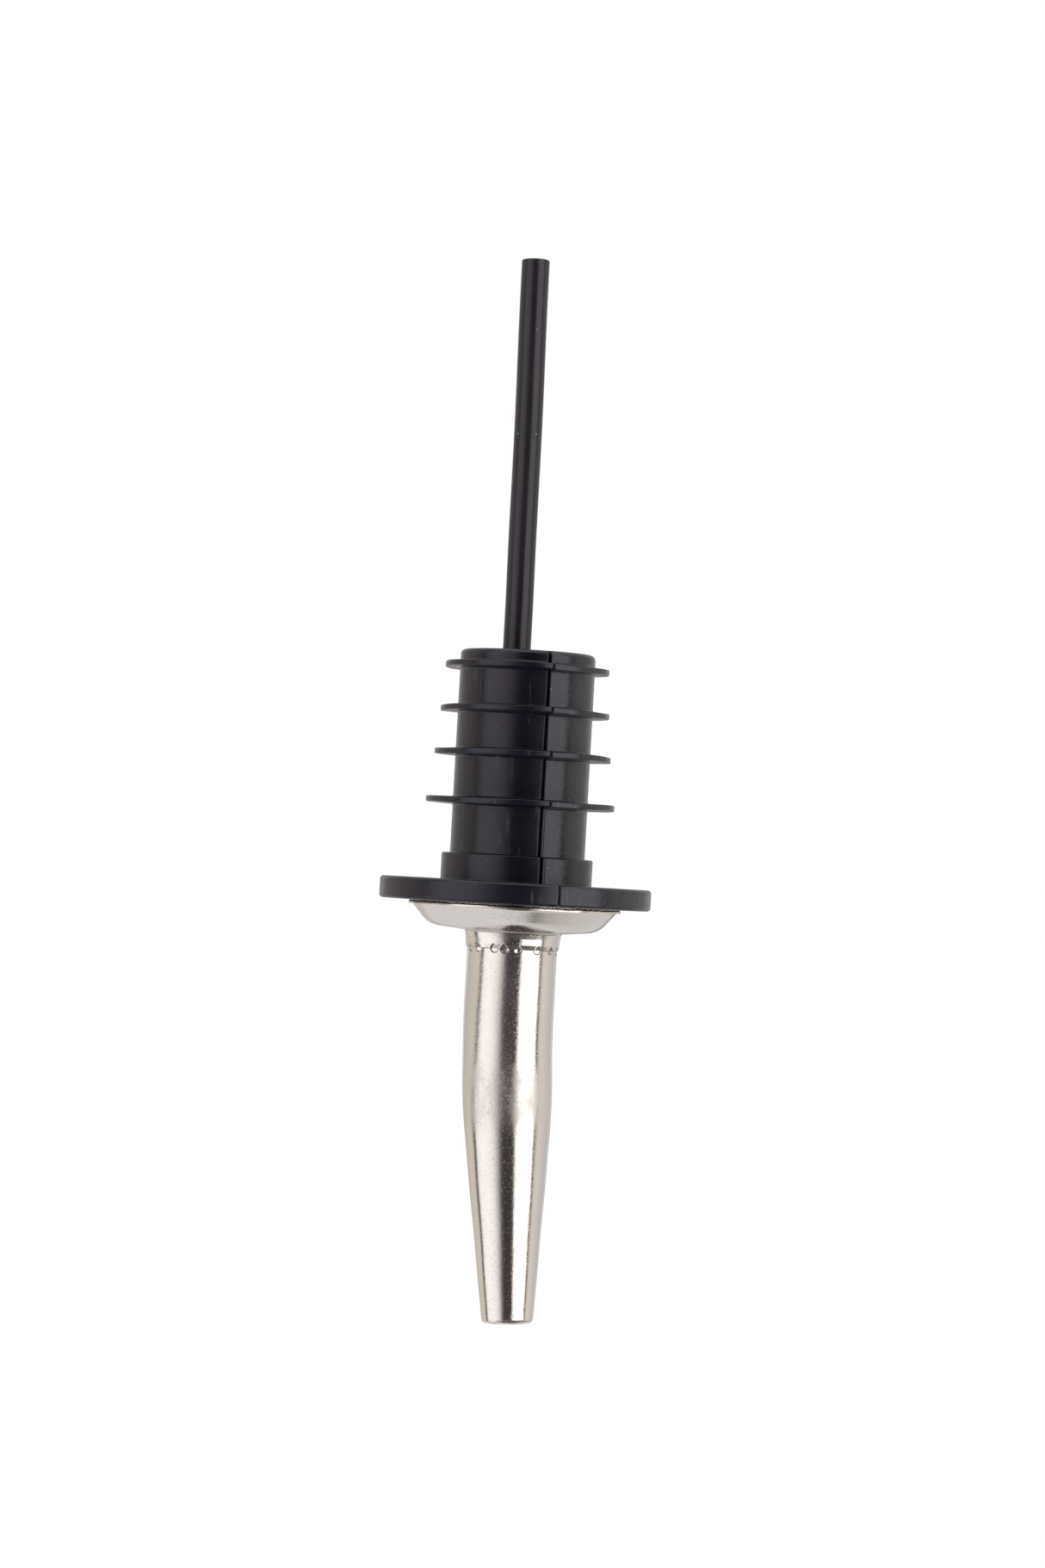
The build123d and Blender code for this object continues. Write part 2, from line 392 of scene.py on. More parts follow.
def flash(turned_by, seams):
    """How far the half on the camera's left stands out at the parting lines, where its mould closed
    last."""
    ahead = turn_between(turned_by, seams[0])
    behind = -turn_between(turned_by, seams[1])
    return FLASH * sum((np.clip(1 - off / FLASH_REACH, 0, 1) * (off > 0)) ** 3 for off in (ahead, behind))


def build_stopper():
    """Finned stopper with its parting groove, a small mould mismatch and slightly wavy fins."""
    outline = stopper_outline()
    fine = np.arange(-SEAM_FINE, SEAM_FINE + 0.001, SEAM_FINE_STEP) / STEM_R
    seams = [facing(SEAM) % TURN, facing(SEAM + 180) % TURN]
    angles = around(STOPPER_SIDES, seams, fine)
    points, normals = turned(outline, angles)
    radius = np.maximum(outline[:, 0], 1.0)[:, None]
    height = outline[:, 1][:, None]
    groove, spin = parting_groove(radius, height, angles, seams)
    turned_by = angles[None, :] + spin
    flat_r = np.hypot(points[..., 0], points[..., 1])
    flat_n = normals[..., 0] * np.cos(angles) + normals[..., 1] * np.sin(angles)
    outside = (radius > STEM_R - 0.7) & (height > STEM_END_Z + 0.02)
    depth = SEAM_DEPTH * (1 - SEAM_SHALLOWER * out_on_rims(radius)) * np.minimum(groove, 1) * outside
    # Painted shade along the parting groove: the rubber's material turns its specular down here
    painted_shade = np.clip((groove - 0.2) / 0.6, 0, 1) * outside
    flat_r = flat_r - flat_n * depth
    height = points[..., 2] - normals[..., 2] * depth
    flat_r = flat_r + flash(turned_by, seams) * outside * (radius < BOSS_R + 0.1)
    # The half on the camera's right sits a little further towards the spout than the other
    right_half = np.sin(turned_by - facing(SEAM)) < 0
    reach = np.clip((radius - STEM_R + 0.4) / 0.6, 0, 1)
    inside_flange = (outline[:, 1] < FLANGE_T - 0.5)[:, None]
    height = height + np.where(right_half, MOULD_SHIFT, 0) * reach * inside_flange
    for number, (rim_r, middle) in enumerate(FINS):
        on_fin = (np.abs(outline[:, 1] - middle) < FIN_ROOT_T)[:, None] & (radius > STEM_R)
        share = np.clip((radius - STEM_R) / (rim_r - STEM_R), 0, 1) ** 1.5
        wave = FIN_WAVE * np.sin(2 * turned_by + 1.3 * number)
        wave = wave + FIN_RIPPLE * np.sin(5 * turned_by + 2.1 * number)
        height = height + on_fin * share * wave
        flat_r = flat_r + on_fin * share * FIN_OUT_OF_ROUND * (np.sin(3 * turned_by + number) - 1)
    grid = np.stack([flat_r * np.cos(turned_by), flat_r * np.sin(turned_by), height], axis=-1)
    return make_piece("stopper_moulding", grid, painted_shade)


# ------------------------------------ shield cap
MARK_DEPTH = 0.19
MARK_WALL = 0.16          # share of a mark's half width that its wall takes
ROUND_SHARE = 0.45        # depth of the marks with a round floor, against those with a fold
MARK_POINT = (1.1, 0.85)  # on the collar a mark is pointed: how fast it narrows across and along
MARK_BURR = 0.012
MARK_BURR_AT = 1.15       # in half widths from the mark's middle, as are the two widths below
MARK_BURR_WIDTH = 0.12
# Width of the painted shade round each mark's edge
MARK_SHADE_WIDTH = 0.115
MARK_FINE = 0.62          # mm on each side of a mark with a fine mesh
MARK_FINE_STEP = 0.038
MARK_ROWS = 0.75          # and above and below it
COLLAR_STEP = 0.10        # the marks press the collar's edge down to the tube

# The cap's skin is a little fuller than a plain pressing
FOOT_OUT = 0.24
FOOT_ROUND = 0.55
SHOULDER_OUT = 0.04
SHOULDER_UP = 0.09
SHOULDER_ROUND = 3.1
# Down the neck: height over its root, radius and round
NECK_PROFILE = [
    (0, NECK_ROOT_R, 0.2),
    (0.18, NECK_ROOT_R - 0.09, 0.25),
    (0.78, NECK_WAIST_R + 0.05, 0.8),
    (1.52, NECK_WAIST_R - 0.02, 1.2),
]
NECK_GAP = 0.005          # between the collar and the tube
RIM_WAVE = 0.02           # the trimmed rim is neither flat nor smooth
RIM_RIPPLE = 0.008
RIM_BURR = 0.05
RIM_BURR_LIFT = 0.035
RIM_BURR_MOST = 0.09
RIM_SHADOW_H = 0.24         # the painted shadow line along the rim, under the flange's edge, is this high, and higher on the camera's left
RIM_SHADOW_RISE = 0.16
RIM_SHADOW_AT = -58
RIM_SHADOW_REACH = 0.6      # radians
ROOT_SHADE = 0.45          # painted shade along the neck's root, and on the edge of the collar
ROOT_SHADE_WIDTH = 0.12
COLLAR_SHADE = 0.7
CAP_SIDES = 480


def mark_angles(count):
    """An even ring of angles with a finer mesh at each punch mark."""
    places = [facing(mark) for mark, _, _, _ in PUNCH_MARKS]
    fine = np.arange(-MARK_FINE, MARK_FINE + 0.001, MARK_FINE_STEP) / TUBE_R
    return around(count, places, fine)


def finer_at_marks(outline, parts):
    """Puts extra rows into an outline where the punch marks bite into its outer side."""
    fine = []
    for here, after in zip(outline, np.roll(outline, -1, axis=0)):
        fine.append(here)
        nearest = min(abs(here[1] - CAP_END_Z), abs(after[1] - CAP_END_Z))
        if nearest < MARK_ROWS and min(here[0], after[0]) > TUBE_R - 0.1:
            fine.extend(here + (after - here) * k / parts for k in range(1, parts))
    return np.array(fine)


def cap_outline():
    """Outer and inner outline of the cap's sheet, from the rim up to the collar's end and back."""
    lean = (CAP_FOOT_R - CAP_SHOULDER_R) / (CAP_SHOULDER_H - CAP_SHEET)
    shift = CAP_SHEET * math.hypot(1, lean)
    root_h = CAP_SHOULDER_H + CAP_FACE_RISE
    inner_r = CAP_SHOULDER_R - shift + lean * CAP_SHEET
    corners = [
        (CAP_RIM_R, CAP_Z + 0.02, 0.17),
        (CAP_RIM_R, CAP_Z + CAP_SHEET, 0.04),
        (CAP_FOOT_R + FOOT_OUT, CAP_Z + CAP_SHEET, FOOT_ROUND),
        (CAP_SHOULDER_R + SHOULDER_OUT, CAP_Z + CAP_SHOULDER_H + SHOULDER_UP, SHOULDER_ROUND),
    ]
    corners += [(radius, CAP_Z + root_h + up, size) for up, radius, size in NECK_PROFILE]
    corners += [
        (NECK_END_R - 0.05, CAP_END_Z, 0.06),
        (TUBE_R + NECK_GAP, CAP_END_Z, 0),
        (TUBE_R + NECK_GAP, CAP_Z + root_h - CAP_SHEET, 0),
        (inner_r, CAP_Z + CAP_SHOULDER_H - CAP_SHEET, 1.55),
        (CAP_FOOT_R - shift + lean * CAP_SHEET, CAP_Z, 1.6),
    ]
    return finer_at_marks(rounded(corners, step=0.12, arc_step=5), 3)


def punch(points):
    """Depth of the punch marks at each point in mm, the share of each mark's floor that is reached there,
    and the painted shade round their edges."""
    rng = random.Random(7)
    angle = np.arctan2(points[..., 1], points[..., 0])
    around_r = np.hypot(points[..., 0], points[..., 1])
    push = np.zeros(angle.shape)
    floor = np.zeros(angle.shape)
    painted_dark = np.zeros(angle.shape)
    for mark, fold, flat_left, flat_right in PUNCH_MARKS:
        height = CAP_END_Z + rng.uniform(-0.05, 0.05)
        size = (WIDEST_MARK_HALF if mark == WIDEST_MARK else MARK_HALF) * rng.uniform(0.92, 1.08)
        slant = rng.uniform(-0.25, 0.25)
        # To the camera's right, and away from the flange
        x = -turn_between(angle, facing(mark)) * around_r
        z = points[..., 2] - height
        x = x + slant * z
        # Round on the tube and pointed on the collar
        pointed = (MARK_POINT[0] * np.abs(x) + MARK_POINT[1] * np.abs(z)) * (z < 0)
        away = np.maximum(np.hypot(x, z), pointed) / size
        wall = np.clip((1 - away) / MARK_WALL, 0, 1)
        right = x / size > fold
        side = np.where(right, (x / size - fold) / (1 - fold), (fold - x / size) / (1 + fold))
        flatness = np.where(right, flat_right, flat_left)
        depth = (1 - np.clip(side, 0, 1) ** flatness) * (1 if flat_left < 2 else ROUND_SHARE)
        push += MARK_DEPTH * depth * np.sqrt(wall) - MARK_BURR * bell(away - MARK_BURR_AT, MARK_BURR_WIDTH)
        floor += wall
        # Painted shade round each mark's edge, strongest on its side towards the mouth and the camera's
        # left
        shaded_side = np.clip(0.75 + 0.35 * z / size - 0.3 * x / size, 0, 1)
        painted_dark += bell(away - 1, MARK_SHADE_WIDTH) * shaded_side
    return push, np.clip(floor, 0, 1), np.clip(painted_dark, 0, 1)


def rim_roughness(outline, angles):
    """How far the trimmed rim is out of flat along Z at each point, and the painted shadow line on its cut
    edge, under the flange.
    """
    rim = np.clip((outline[:, 0] - CAP_FOOT_R) / (CAP_RIM_R - CAP_FOOT_R), 0, 1)[:, None]
    above = outline[:, 1:2] - CAP_Z
    wave = RIM_WAVE + RIM_WAVE * np.sin(3 * angles + 0.7) + RIM_RIPPLE * np.sin(11 * angles)
    lift = rim * wave[None, :] * (above < CAP_SHEET + 0.3)
    rng = np.random.default_rng(11)
    burrs = rng.uniform(-1, 1, (len(angles), 3)).mean(axis=1)
    burrs = burrs + 0.6 * np.sin(19 * angles) * np.sin(7.3 * angles)
    underside = (rim > 0.8) & (above < 0.2)
    lift += underside * np.clip(RIM_BURR * burrs[None, :] + RIM_BURR_LIFT, 0, RIM_BURR_MOST)
    # A painted shadow line along the rim's edge under the flange, higher on the camera's left
    highest = smooth_bump(turn_between(angles, facing(RIM_SHADOW_AT)), RIM_SHADOW_REACH)
    shadow_h = RIM_SHADOW_H + RIM_SHADOW_RISE * highest + 0.04 * burrs
    return lift, (rim > 0.9) * np.clip((shadow_h[None, :] - above) / 0.06, 0, 1)


def build_cap():
    """Pressed cap: flat rim, sloped wall, domed face, and a neck with its ring of punch marks."""
    outline = cap_outline()
    angles = mark_angles(CAP_SIDES)
    points, _ = turned(outline, angles)
    collar = (outline[:, 1] > CAP_Z + NECK_WAIST_H)[:, None]
    radial = np.stack([np.cos(angles), np.sin(angles), np.zeros(len(angles))], axis=-1)[None]
    push, floor, painted_shade = punch(points)
    painted_shade = painted_shade * collar
    moved = points - radial * ((push + COLLAR_STEP * floor) * collar)[..., None]
    lift, shadowed_edge = rim_roughness(outline, angles)
    moved[..., 2] += lift
    # Painted shade along the neck's root and on the collar's edge, kept with the marks' painted shade and
    # the rim's painted shadow line
    off_root = np.hypot(outline[:, 0] - NECK_ROOT_R, outline[:, 1] - CAP_Z - CAP_SHOULDER_H - CAP_FACE_RISE)
    root = ROOT_SHADE * bell(off_root, ROOT_SHADE_WIDTH)[:, None]
    edge = (outline[:, 1] > CAP_END_Z - 0.04)[:, None] * COLLAR_SHADE * (1 - floor)
    for painted_dark in (root, edge, shadowed_edge):
        painted_shade = np.maximum(painted_shade, painted_dark)
    return make_piece("pressed_shield_cap", moved, painted_shade)


# ------------------------------------ spout
UNDER_COLLAR = 0.03       # extra depth of the marks under the collar, so that the tube stays covered
OUT_OF_TRUE = 0.018       # drawing and bending leave the tube very slightly out of true
MOUTH_CUT = 0.05          # the mouth was deburred by hand, so its chamfer is uneven
MARKS_REACH = 1.2         # no mark reaches further along the tube than this from the collar's edge
COLLAR_LINE = 0.8         # a painted shade line where the tube leaves the collar
COLLAR_LINE_WIDTH = 0.06
SPOUT_SIDES = 360


def spout_outline():
    """Outline of the spout before it is bent, up its outside and back down its bore."""
    bore = TUBE_R - TUBE_WALL
    shank_top = BEND_Z - BEND_REACH
    low, high = BEAD_Z - BEAD_HALF, BEAD_Z + BEAD_HALF
    corners = [
        (bore, SHANK_END_Z, 0.05),
        (TUBE_R, SHANK_END_Z, 0.05),
        (TUBE_R, low, 0),
        (TUBE_R + BEAD_PROUD, BEAD_Z - BEAD_FLAT_HALF, 0),
        (TUBE_R + BEAD_PROUD, BEAD_Z + BEAD_FLAT_HALF, 0),
        (TUBE_R, high, 0),
        (TUBE_R, CAP_END_Z - MARKS_REACH, 0),
        (TUBE_R, shank_top, 0),
        (TUBE_R, BEND_Z + TAPER_START, TAPER_ROUND),
        # A fine step, and then the mouth's chamfer
        (MOUTH_R + 0.045, BEND_Z + MOUTH_S - 0.50, 0.02),
        (MOUTH_R + 0.015, BEND_Z + MOUTH_S - 0.47, 0.02),
        (MOUTH_R, BEND_Z + MOUTH_S - 0.27, 0.25),
        (MOUTH_R - 0.20, BEND_Z + MOUTH_S, 0.08),
        (MOUTH_R - TUBE_WALL, BEND_Z + MOUTH_S, 0.1),
        (bore, BEND_Z + TAPER_START, TAPER_ROUND),
        (bore, shank_top, 0),
        (bore, high, 0),
        (bore + BEAD_PROUD, BEAD_Z + BEAD_FLAT_HALF, 0),
        (bore + BEAD_PROUD, BEAD_Z - BEAD_FLAT_HALF, 0),
        (bore, low, 0),
    ]
    return finer_at_marks(rounded(corners, step=0.4), 10)


def bent(points):
    """Carries straight points over to the bent spout; heights above the bend count along the spout."""
    start = BEND_Z - BEND_REACH
    bend_r = BEND_REACH / math.tan(BEND_ANGLE / 2)
    # The straight model has 2 * BEND_REACH where the arc is slightly shorter
    share = np.clip((points[..., 2] - start) / (2 * BEND_REACH), 0, 1)
    angle = share * BEND_ANGLE
    past = np.maximum(points[..., 2] - start - 2 * BEND_REACH, 0)
    before = np.minimum(points[..., 2], start)
    line_x = -bend_r * (1 - np.cos(angle)) - past * np.sin(angle)
    line_z = before + bend_r * np.sin(angle) + past * np.cos(angle)
    result = points.copy()
    result[..., 0] = line_x + points[..., 0] * np.cos(angle)
    result[..., 2] = line_z + points[..., 0] * np.sin(angle)
    return result


def build_spout():
    """Drawn spout tube: shank with a rolled bead, gentle bend, long taper and a rounded mouth."""
    outline = spout_outline()
    angles = mark_angles(SPOUT_SIDES)
    points, normals = turned(outline, angles)
    radius = outline[:, 0]
    past_collar = outline[:, 1] - CAP_END_Z
    past_mouth = outline[:, 1] - BEND_Z - MOUTH_S
    outer = (radius > TUBE_R - 0.03)[:, None] & (np.abs(past_collar) < MARKS_REACH)[:, None]
    push, floor, painted_shade = punch(points)
    under = UNDER_COLLAR * floor * (past_collar < -0.02)[:, None]
    moved = points - normals * ((np.maximum(push, 0) + under) * outer)[..., None]
    start = np.clip((past_collar - 1) / 6, 0, 1)[:, None]
    end = np.clip((-1 - past_mouth) / 6, 0, 1)[:, None]
    swell = OUT_OF_TRUE * np.sin(outline[:, 1] * 0.55)[:, None] * np.cos(2 * angles + 0.4)[None, :]
    moved += normals * (swell * start * end)[..., None] * (radius > MOUTH_R)[:, None, None]
    near_mouth = smooth_bump(past_mouth, 0.5) * (radius > MOUTH_R - 0.3)
    rng = np.random.default_rng(5)
    rough_cut = np.convolve(rng.uniform(-1, 1, len(angles) + 4), np.ones(5) / 5, "valid")
    facets = 0.5 + 0.25 * np.sin(3 * angles + 1) + 0.2 * np.sin(8 * angles) + 0.5 * rough_cut
    moved -= normals * (MOUTH_CUT * near_mouth[:, None] * facets[None, :])[..., None]
    # Painted shade round the punch marks and where the tube leaves the collar
    leaving = bell(past_collar, COLLAR_LINE_WIDTH) * (radius > TUBE_R - 0.03)
    painted_shade = np.maximum(painted_shade * outer, COLLAR_LINE * leaving[:, None] * (1 - floor))
    return make_piece("drawn_spout", bent(moved), painted_shade)


# ------------------------------------ vent tube
VENT_DRIFT = 0.28         # how far its end hangs off line
VENT_WAVE = 0.03
VENT_CUT = 0.05           # half the height by which its cut end is out of square
VENT_SIDES = 128


def build_vent():
    """Extruded tube, square cut, hanging very slightly off line below the metal spigot."""
    corners = [
        (VENT_BORE_R, VENT_END_Z, 0.06),
        (VENT_R, VENT_END_Z, 0.16),
        (VENT_R, VENT_TOP_Z, 0.08),
        (VENT_BORE_R, VENT_TOP_Z, 0),
    ]
    outline = rounded(corners, step=0.8)
    angles = around(VENT_SIDES)
    points, _ = turned(outline, angles)
    length = SPIGOT_END_Z - VENT_END_Z
    below = np.clip((SPIGOT_END_Z - points[..., 2]) / length, 0, 1)
    points[..., 0] += VENT_X + VENT_DRIFT * below ** 1.25 + VENT_WAVE * np.sin(below * 9)
    end = smooth_bump(points[..., 2] - VENT_END_Z, 0.5)
    points[..., 2] += end * VENT_CUT * (1 + np.sin(angles + 0.6))[None, :]
    return make_piece("vent_tube_extrusion", points)


# ------------------------------------ materials
def material(name, **values):
    """A node material with the given values on its shader's sockets."""
    made = bpy.data.materials.new(name)
    made.use_nodes = True
    shader = made.node_tree.nodes["Principled BSDF"]
    for socket, value in values.items():
        shader.inputs[socket.replace("_", " ")].default_value = value
    return made, made.node_tree, shader


def node(tree, kind, **settings):
    """A node with the given socket values and settings."""
    made = tree.nodes.new(kind)
    for key, value in settings.items():
        if key in made.inputs:
            made.inputs[key].default_value = value
        else:
            setattr(made, key, value)
    return made


def scaled(tree, place, size_mm, stretch=(1, 1, 1)):
    """A place counted in steps of size_mm."""
    mapping = node(tree, "ShaderNodeMapping")
    mapping.inputs["Scale"].default_value = [s / (size_mm * MM) for s in stretch]
    tree.links.new(place, mapping.inputs["Vector"])
    return mapping.outputs[0]


def noise(tree, place, size_mm, detail=3.0, roughness=0.55, stretch=(1, 1, 1)):
    """Noise whose features are about size_mm across."""
    made = node(tree, "ShaderNodeTexNoise", Scale=1.0, Detail=detail, Roughness=roughness)
    tree.links.new(scaled(tree, place, size_mm, stretch), made.inputs["Vector"])
    return made.outputs["Fac"]


def specks(tree, place, spacing_mm, size):
    """1 on small round specks scattered about spacing_mm apart, 0 elsewhere."""
    cells = node(tree, "ShaderNodeTexVoronoi", Scale=1.0)
    tree.links.new(scaled(tree, place, spacing_mm), cells.inputs["Vector"])
    return remap(tree, cells.outputs["Distance"], size, size * 0.6, 0, 1)


def remap(tree, value, low, high, to_low, to_high, shape="LINEAR"):
    """Carries low..high over to to_low..to_high, and holds the ends."""
    made = node(tree, "ShaderNodeMapRange", interpolation_type=shape)
    tree.links.new(value, made.inputs["Value"])
    for key, number in (("From Min", low), ("From Max", high), ("To Min", to_low), ("To Max", to_high)):
        made.inputs[key].default_value = number
    return made.outputs["Result"]


def combine(tree, operation, a, b):
    """A math node's result for two shader values or numbers."""
    made = node(tree, "ShaderNodeMath", operation=operation)
    for socket, value in zip(made.inputs, (a, b)):
        if isinstance(value, (int, float)):
            socket.default_value = value
        else:
            tree.links.new(value, socket)
    return made.outputs[0]


def times(tree, a, b):
    """Product of two shader values."""
    return combine(tree, "MULTIPLY", a, b)


def plus(tree, a, b):
    """Sum of two shader values."""
    return combine(tree, "ADD", a, b)


def blend_colours(tree, factor, first, second):
    """From the first colour to the second as the factor goes from 0 to 1."""
    made = node(tree, "ShaderNodeMix", data_type="RGBA")
    tree.links.new(factor, made.inputs["Factor"])
    for socket, value in ((made.inputs[6], first), (made.inputs[7], second)):
        if isinstance(value, tuple):
            socket.default_value = (*value, 1.0)
        else:
            tree.links.new(value, socket)
    return made.outputs[2]


def bumped(tree, shader, height, depth_mm, under=None):
    """Bump on the shader's normal, on top of an earlier bump if one is given."""
    made = node(tree, "ShaderNodeBump", Strength=1.0, Distance=depth_mm * MM)
    tree.links.new(height, made.inputs["Height"])
    if under is not None:
        tree.links.new(under, made.inputs["Normal"])
    tree.links.new(made.outputs[0], shader.inputs["Normal"])
    return made.outputs[0]


def object_place(tree):
    """The point on the object, in metres in the part's own frame."""
    return node(tree, "ShaderNodeTexCoord").outputs["Object"]


def height_in(tree, place):
    """Z of a point."""
    made = node(tree, "ShaderNodeSeparateXYZ")
    tree.links.new(place, made.inputs[0])
    return made.outputs["Z"]


def distance_from_axis(tree, place):
    """Distance of a point from the Z axis."""
    flat = node(tree, "ShaderNodeVectorMath", operation="MULTIPLY")
    flat.inputs[1].default_value = (1, 1, 0)
    tree.links.new(place, flat.inputs[0])
    reach = node(tree, "ShaderNodeVectorMath", operation="LENGTH")
    tree.links.new(flat.outputs["Vector"], reach.inputs[0])
    return reach.outputs["Value"]


def painted_shade_on(tree):
    """The painted shade that make_piece left on the mesh."""
    return node(tree, "ShaderNodeAttribute", attribute_name="painted_shade").outputs["Fac"]


SATIN_ROUGH = 0.26
GLOSSY_ROUGH = 0.20
GROOVE_SPECULAR = 0.02
RUBBER_MOTTLE = 0.006     # mm, as are the other depths of grain below
RUBBER_GRAIN = 0.0022
PLATE_PEEL = 0.004
PLATE_GRAIN = 0.010
BRASS_EDGE = 0.04         # width of bare brass on the cap's trimmed rim
BRASS_FADE = 0.10         # and the width by which it has faded out
# Colour of the painted shade in the metal's crevices
SHADE_COLOUR = (0.06, 0.052, 0.045)


def rubber_material():
    """Black moulded elastomer: one mould half is satin, the other has a glossier, mottled skin."""
    made, tree, shader = material("moulded_rubber", IOR=1.60, Specular_Tint=(0.87, 0.855, 1.0, 1.0))
    place = object_place(tree)
    split = node(tree, "ShaderNodeVectorMath", operation="DOT_PRODUCT")
    # Across the parting plane, towards the camera's right
    seam = math.radians(SEAM)
    split.inputs[1].default_value = (-math.cos(seam), math.sin(seam), 0)
    tree.links.new(place, split.inputs[0])
    right_half = remap(tree, split.outputs["Value"], -0.05 * MM, 0.05 * MM, 0, 1)
    mottle = remap(tree, noise(tree, place, 0.55, detail=4, roughness=0.6), 0.34, 0.66, 0, 1)
    grain = noise(tree, place, 0.14, detail=2)
    broad = noise(tree, place, 4.0, detail=3)
    strokes = noise(tree, place, 0.7, detail=5, roughness=0.7, stretch=(1, 1, 0.12))
    pits = remap(tree, mottle, 0.22, 0.08, 0, 1)
    rough = remap(tree, right_half, 0, 1, SATIN_ROUGH, GLOSSY_ROUGH)
    uneven = remap(tree, right_half, 0, 1, 0.03, 0.16)
    rough = plus(tree, rough, times(tree, combine(tree, "SUBTRACT", mottle, 0.5), uneven))
    rough = plus(tree, rough, remap(tree, broad, 0.3, 0.7, -0.03, 0.04))
    rough = plus(tree, rough, remap(tree, strokes, 0.6, 0.75, 0, 0.07))
    rough = plus(tree, rough, times(tree, pits, times(tree, right_half, 0.2)))
    dust = specks(tree, place, 1.7, 0.045)
    rough = plus(tree, rough, times(tree, dust, 0.3))
    tree.links.new(rough, shader.inputs["Roughness"])
    satin = blend_colours(tree, broad, (0.0028, 0.0023, 0.0050), (0.0052, 0.0045, 0.0080))
    bloomed = blend_colours(tree, broad, (0.0075, 0.0070, 0.0095), (0.0125, 0.0120, 0.0140))
    bloom = times(tree, times(tree, mottle, right_half), 0.5)
    bloomed = blend_colours(tree, bloom, bloomed, (0.024, 0.026, 0.024))
    skin = blend_colours(tree, right_half, satin, bloomed)
    scuffs = times(tree, remap(tree, strokes, 0.60, 0.66, 0, 1), 0.22)
    skin = blend_colours(tree, scuffs, skin, (0.10, 0.10, 0.11))
    skin = blend_colours(tree, dust, skin, (0.30, 0.30, 0.32))
    tree.links.new(skin, shader.inputs["Base Color"])
    height = times(tree, mottle, remap(tree, right_half, 0, 1, 0.12, 1))
    # Painted shade: the parting groove's specular is turned down, so that it shows dark
    specular = remap(tree, painted_shade_on(tree), 0, 1, 0.5, GROOVE_SPECULAR)
    tree.links.new(specular, shader.inputs["Specular IOR Level"])
    under = bumped(tree, shader, height, RUBBER_MOTTLE)
    bumped(tree, shader, grain, RUBBER_GRAIN, under)
    return made


def plated_material(name, trimmed_edge=False):
    """Nickel-chrome plate over drawn metal: bright, with a fine grain that breaks reflections' edges."""
    made, tree, shader = material(name, Metallic=1.0)
    place = object_place(tree)
    grain = noise(tree, place, 0.34, detail=5, roughness=0.7)
    pits = remap(tree, noise(tree, place, 0.25, detail=4, roughness=0.75), 0.54, 0.62, 0, 1)
    peel = noise(tree, place, 1.3, detail=2)
    wear = noise(tree, place, 5.0, detail=5, roughness=0.65)
    shade = blend_colours(tree, wear, (0.90, 0.875, 0.85), (0.85, 0.82, 0.79))
    shade = blend_colours(tree, times(tree, pits, 0.12), shade, (0.62, 0.58, 0.53))
    rough = plus(tree, remap(tree, pits, 0, 1, 0.06, 0.30), remap(tree, wear, 0.4, 0.7, 0, 0.05))
    # Drawing the taper left the tube duller between the bend and the taper
    height = height_in(tree, place)
    rise = remap(tree, height, (DULL_Z - DULL_REACH) * MM, (DULL_Z - DULL_CORE) * MM, 0, 1)
    fall = remap(tree, height, (DULL_Z + DULL_CORE) * MM, (DULL_Z + DULL_REACH) * MM, 1, 0)
    streaks = remap(tree, noise(tree, place, 1.6, detail=3, stretch=(1, 1, 0.35)), 0.35, 0.65, 0.3, 1)
    dulled = times(tree, times(tree, rise, fall), streaks)
    rough = plus(tree, rough, times(tree, dulled, DULL_ROUGH))
    if trimmed_edge:
        # The blank was cut after plating, so its edge shows the brass
        reach = distance_from_axis(tree, place)
        edge = remap(tree, reach, (CAP_RIM_R - BRASS_FADE) * MM, (CAP_RIM_R - BRASS_EDGE) * MM, 0, 1)
        shade = blend_colours(tree, times(tree, edge, 0.45), shade, (0.97, 0.86, 0.66))
        rough = plus(tree, rough, times(tree, edge, 0.1))
    # Painted shade in the crevices, round the punch marks and along the rim
    shade = blend_colours(tree, times(tree, painted_shade_on(tree), 0.9), shade, SHADE_COLOUR)
    tree.links.new(shade, shader.inputs["Base Color"])
    tree.links.new(rough, shader.inputs["Roughness"])
    under = bumped(tree, shader, peel, PLATE_PEEL)
    bumped(tree, shader, grain, PLATE_GRAIN, under)
    return made


def inner_metal_material(name, colour, roughness):
    """Unplated tube and stampings inside: duller, with fine lines along their length."""
    made, tree, shader = material(name, Metallic=1.0)
    place = object_place(tree)
    lines = noise(tree, place, 0.12, detail=3, stretch=(1, 1, 0.05))
    stain = noise(tree, place, 2.5, detail=4, roughness=0.6)
    darker = tuple(c * 0.72 for c in colour)
    tree.links.new(blend_colours(tree, stain, darker, colour), shader.inputs["Base Color"])
    rough = remap(tree, lines, 0.3, 0.7, roughness - 0.06, roughness + 0.08)
    tree.links.new(rough, shader.inputs["Roughness"])
    bumped(tree, shader, lines, 0.002)
    return made


